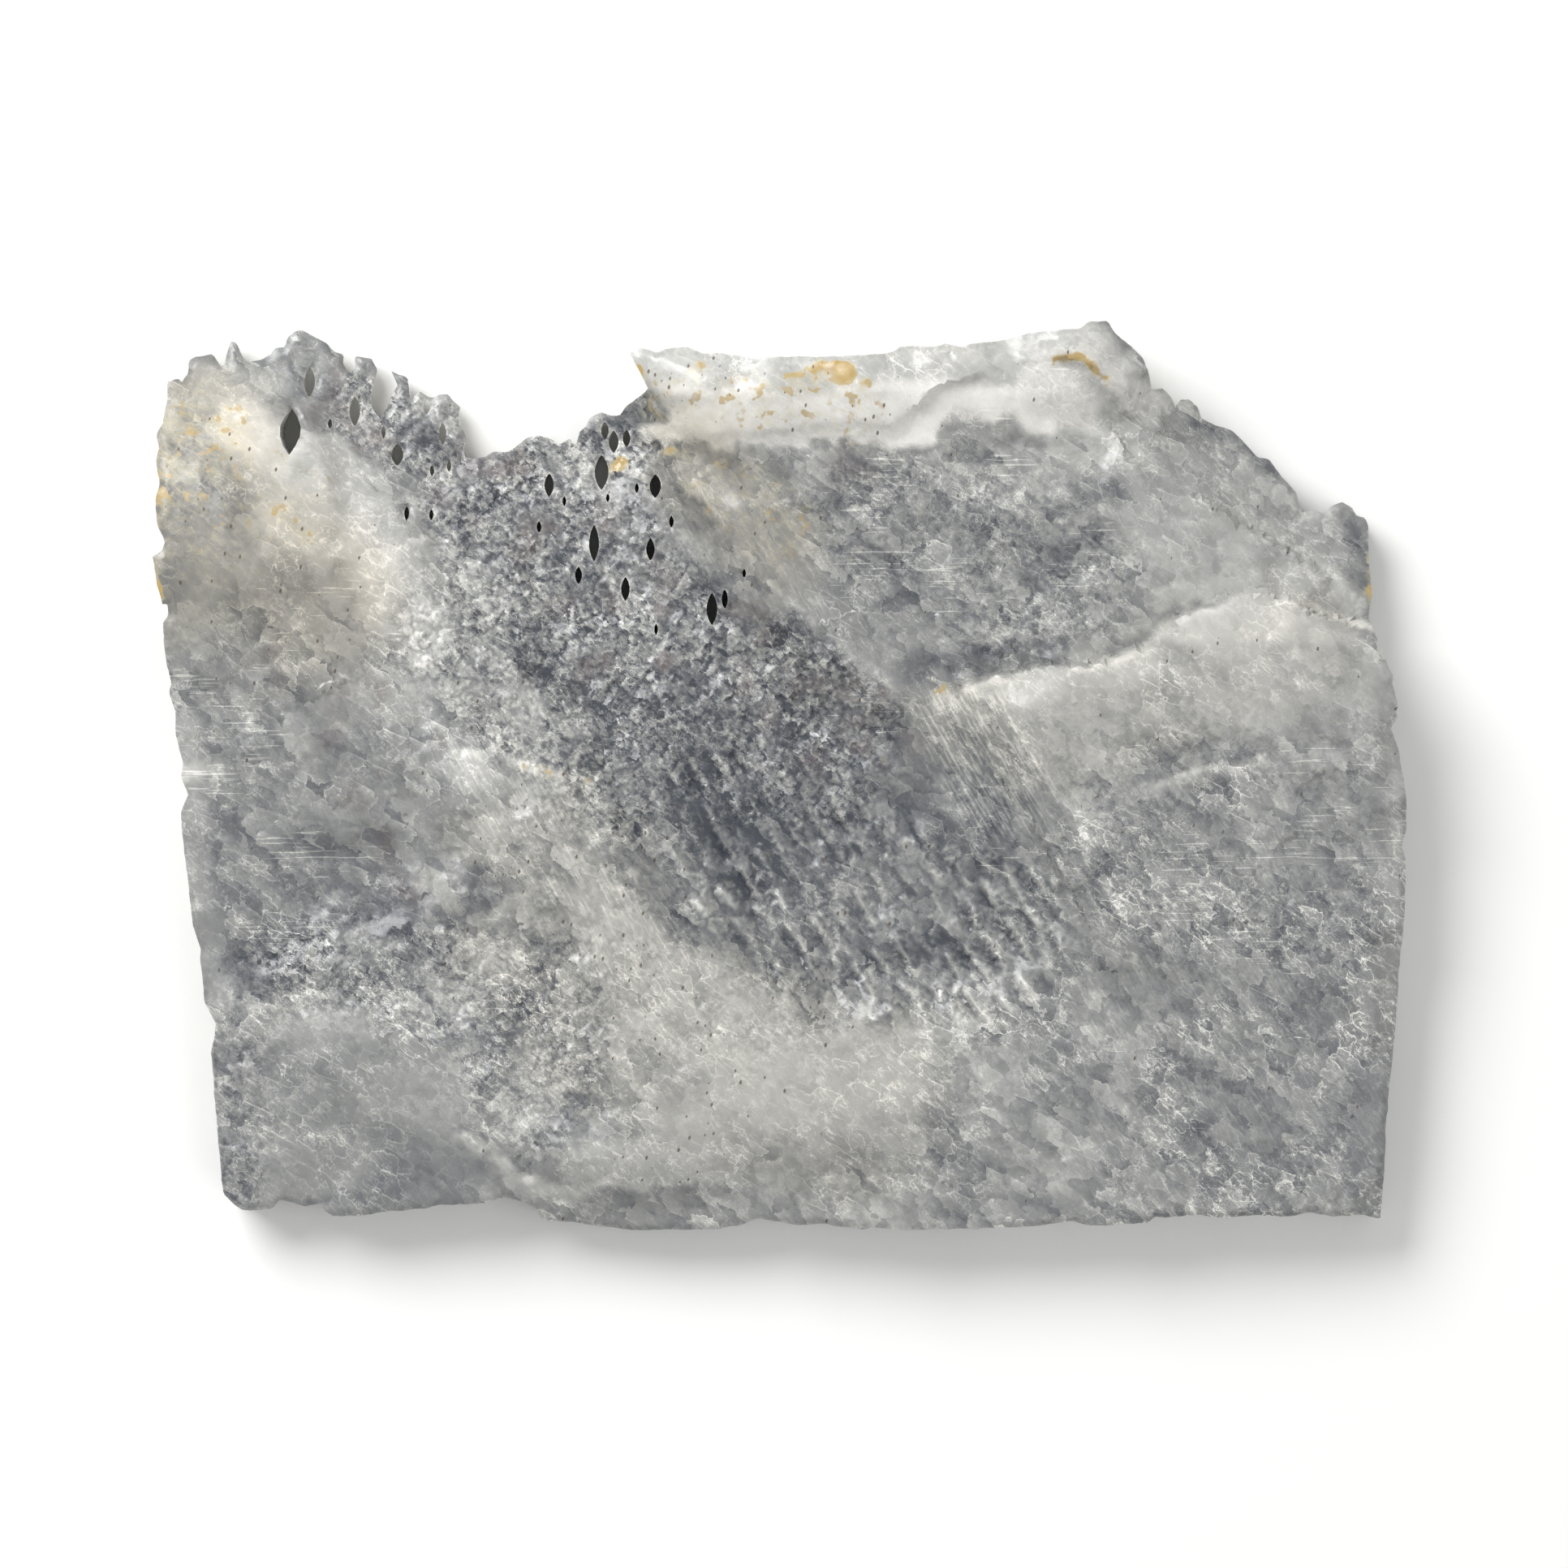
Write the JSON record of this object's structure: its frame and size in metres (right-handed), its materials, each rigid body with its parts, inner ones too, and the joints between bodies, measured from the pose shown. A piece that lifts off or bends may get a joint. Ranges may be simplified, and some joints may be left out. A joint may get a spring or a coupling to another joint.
{
  "type": "selenite slab",
  "caption": "Natural slab of cloudy selenite with a flat back, an etched and stepped front, a spiky skeletal rim and lens-shaped holes through its thin parts.",
  "frame": {"origin": "middle of the outline's box, on the plane of the flat back that the slab lies on", "axes": "+X along the slab's longest side, +Y towards the edge with the spiky rim and the top ledge, +Z straight out of the etched front"},
  "size_m": [0.2468, 0.179, 0.0332],
  "materials": {
    "selenite": "satin to silky cleavage, cloudy to water-clear, translucent"
  },
  "bodies": {
    "root": {"selenite_slab": "selenite"}
  },
  "joints": []
}
